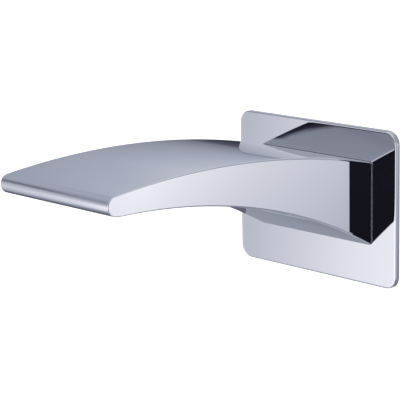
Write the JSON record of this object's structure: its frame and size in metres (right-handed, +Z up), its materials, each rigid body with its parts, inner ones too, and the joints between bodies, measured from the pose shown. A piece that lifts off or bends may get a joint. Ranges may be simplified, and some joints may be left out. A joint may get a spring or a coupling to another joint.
{
  "type": "bath spout",
  "caption": "Wall-mounted chrome bath spout: a wide arched blade with a rounded lip and an underside outlet slot, on a thin rounded wall plate.",
  "frame": {"origin": "on the inlet's axis where it crosses the wall plane; the pipe thread runs on into the wall from there", "axes": "+Z up, +Y into the wall, -Y out over the bath along the arm, +X across the arm to the right as seen by someone who faces the wall"},
  "size_m": [0.121, 0.205, 0.088],
  "materials": {
    "chrome_body": "mirror polished chrome plate on brass",
    "chrome_plate": "mirror polished chrome plate on brass",
    "cast_brass": "cast and faced brass",
    "turned_brass": "turned brass",
    "screw_steel": "bright stainless steel",
    "mesh_steel": "etched stainless sheet",
    "grey_rubber": "matt moulded rubber",
    "black_rubber": "matt rubber",
    "foam_rubber": "closed-cell foam",
    "clear_silicone": "translucent silicone",
    "red_fibre": "pressed fibre",
    "orange_plastic": "moulded plastic",
    "white_plastic": "moulded acetal"
  },
  "bodies": {
    "root": {"spout_body": "chrome_body", "inlet_block": "cast_brass", "block_seal": "grey_rubber", "block_screws": "screw_steel", "screw_washers": "screw_steel", "plate_seal": "clear_silicone", "wall_plate": "chrome_plate", "plate_screws": "screw_steel", "wall_gasket": "foam_rubber", "inlet_adapter": "turned_brass", "adapter_washer": "red_fibre", "inlet_washer": "black_rubber", "strainer_screen": "mesh_steel", "strainer_ring": "orange_plastic", "flow_disc": "white_plastic", "outlet_insert": "white_plastic", "outlet_seal": "grey_rubber", "outlet_screen": "mesh_steel", "outlet_trim": "chrome_body", "outlet_screws": "screw_steel"}
  },
  "joints": []
}
